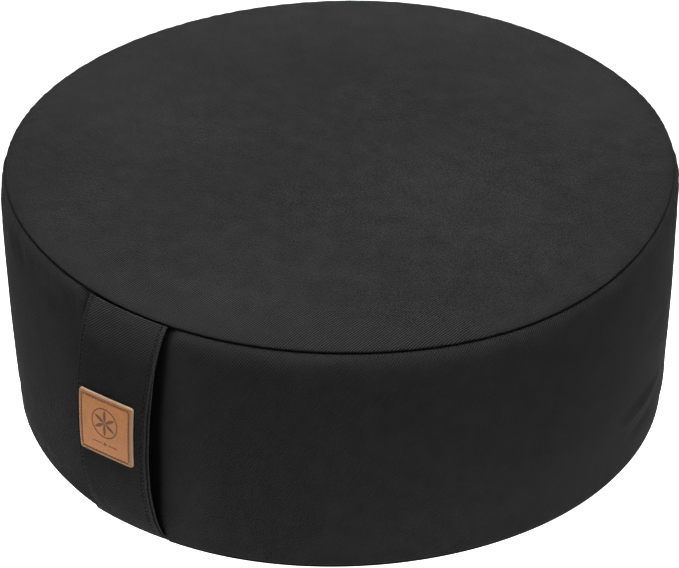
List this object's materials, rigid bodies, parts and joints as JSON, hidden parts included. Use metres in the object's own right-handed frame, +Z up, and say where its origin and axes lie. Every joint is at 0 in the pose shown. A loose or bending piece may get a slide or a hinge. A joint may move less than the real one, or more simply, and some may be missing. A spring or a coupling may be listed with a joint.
{
  "type": "round meditation cushion",
  "caption": "Low round floor cushion in charcoal twill with a firm filled body, a flat carrying strap sewn on its side wall and a small square tan leather patch on the strap.",
  "frame": {"origin": "centre of the flat base that the cushion rests on", "axes": "+Z up out of the top panel, -Y out of the carrying strap's face, +X to the right of the strap seen from in front"},
  "size_m": [0.4015, 0.4206, 0.1655],
  "materials": {
    "charcoal_twill": "matt fine cotton twill",
    "charcoal_strap": "matt fine cotton twill, folded and hemmed",
    "tan_leather": "smooth satin vegetable-tanned leather"
  },
  "bodies": {
    "root": {"cushion": "charcoal_twill", "handle_strap": "charcoal_strap", "leather_patch": "tan_leather"}
  },
  "joints": []
}
